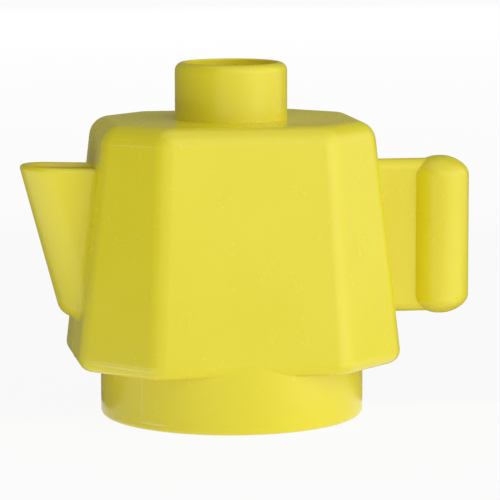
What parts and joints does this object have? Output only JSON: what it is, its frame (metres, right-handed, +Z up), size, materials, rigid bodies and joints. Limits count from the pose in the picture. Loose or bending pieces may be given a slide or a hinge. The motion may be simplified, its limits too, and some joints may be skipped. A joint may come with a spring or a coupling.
{
  "type": "toy teapot",
  "caption": "Toy teapot: tapered octagonal belly on a round foot, open wedge spout, upright bar handle on a web, hollow stud as lid knob and a stud socket beneath.",
  "frame": {"origin": "middle of the foot, in the plane that the foot stands on and at the mouth of the stud socket", "axes": "+Z up through the stud on the deck, +X towards the handle with the spout at -X, +Y towards the back; the part is the same on both sides of the plane of X and Z"},
  "size_m": [0.0381, 0.022, 0.0295],
  "materials": {
    "yellow_abs": "satin to glossy moulded ABS, one warm yellow all through"
  },
  "bodies": {
    "root": {"body_shell": "yellow_abs", "top_stud": "yellow_abs", "foot_ring": "yellow_abs", "socket_tube": "yellow_abs", "socket_ribs": "yellow_abs", "spout": "yellow_abs", "handle_web": "yellow_abs", "handle_grip": "yellow_abs"}
  },
  "joints": []
}
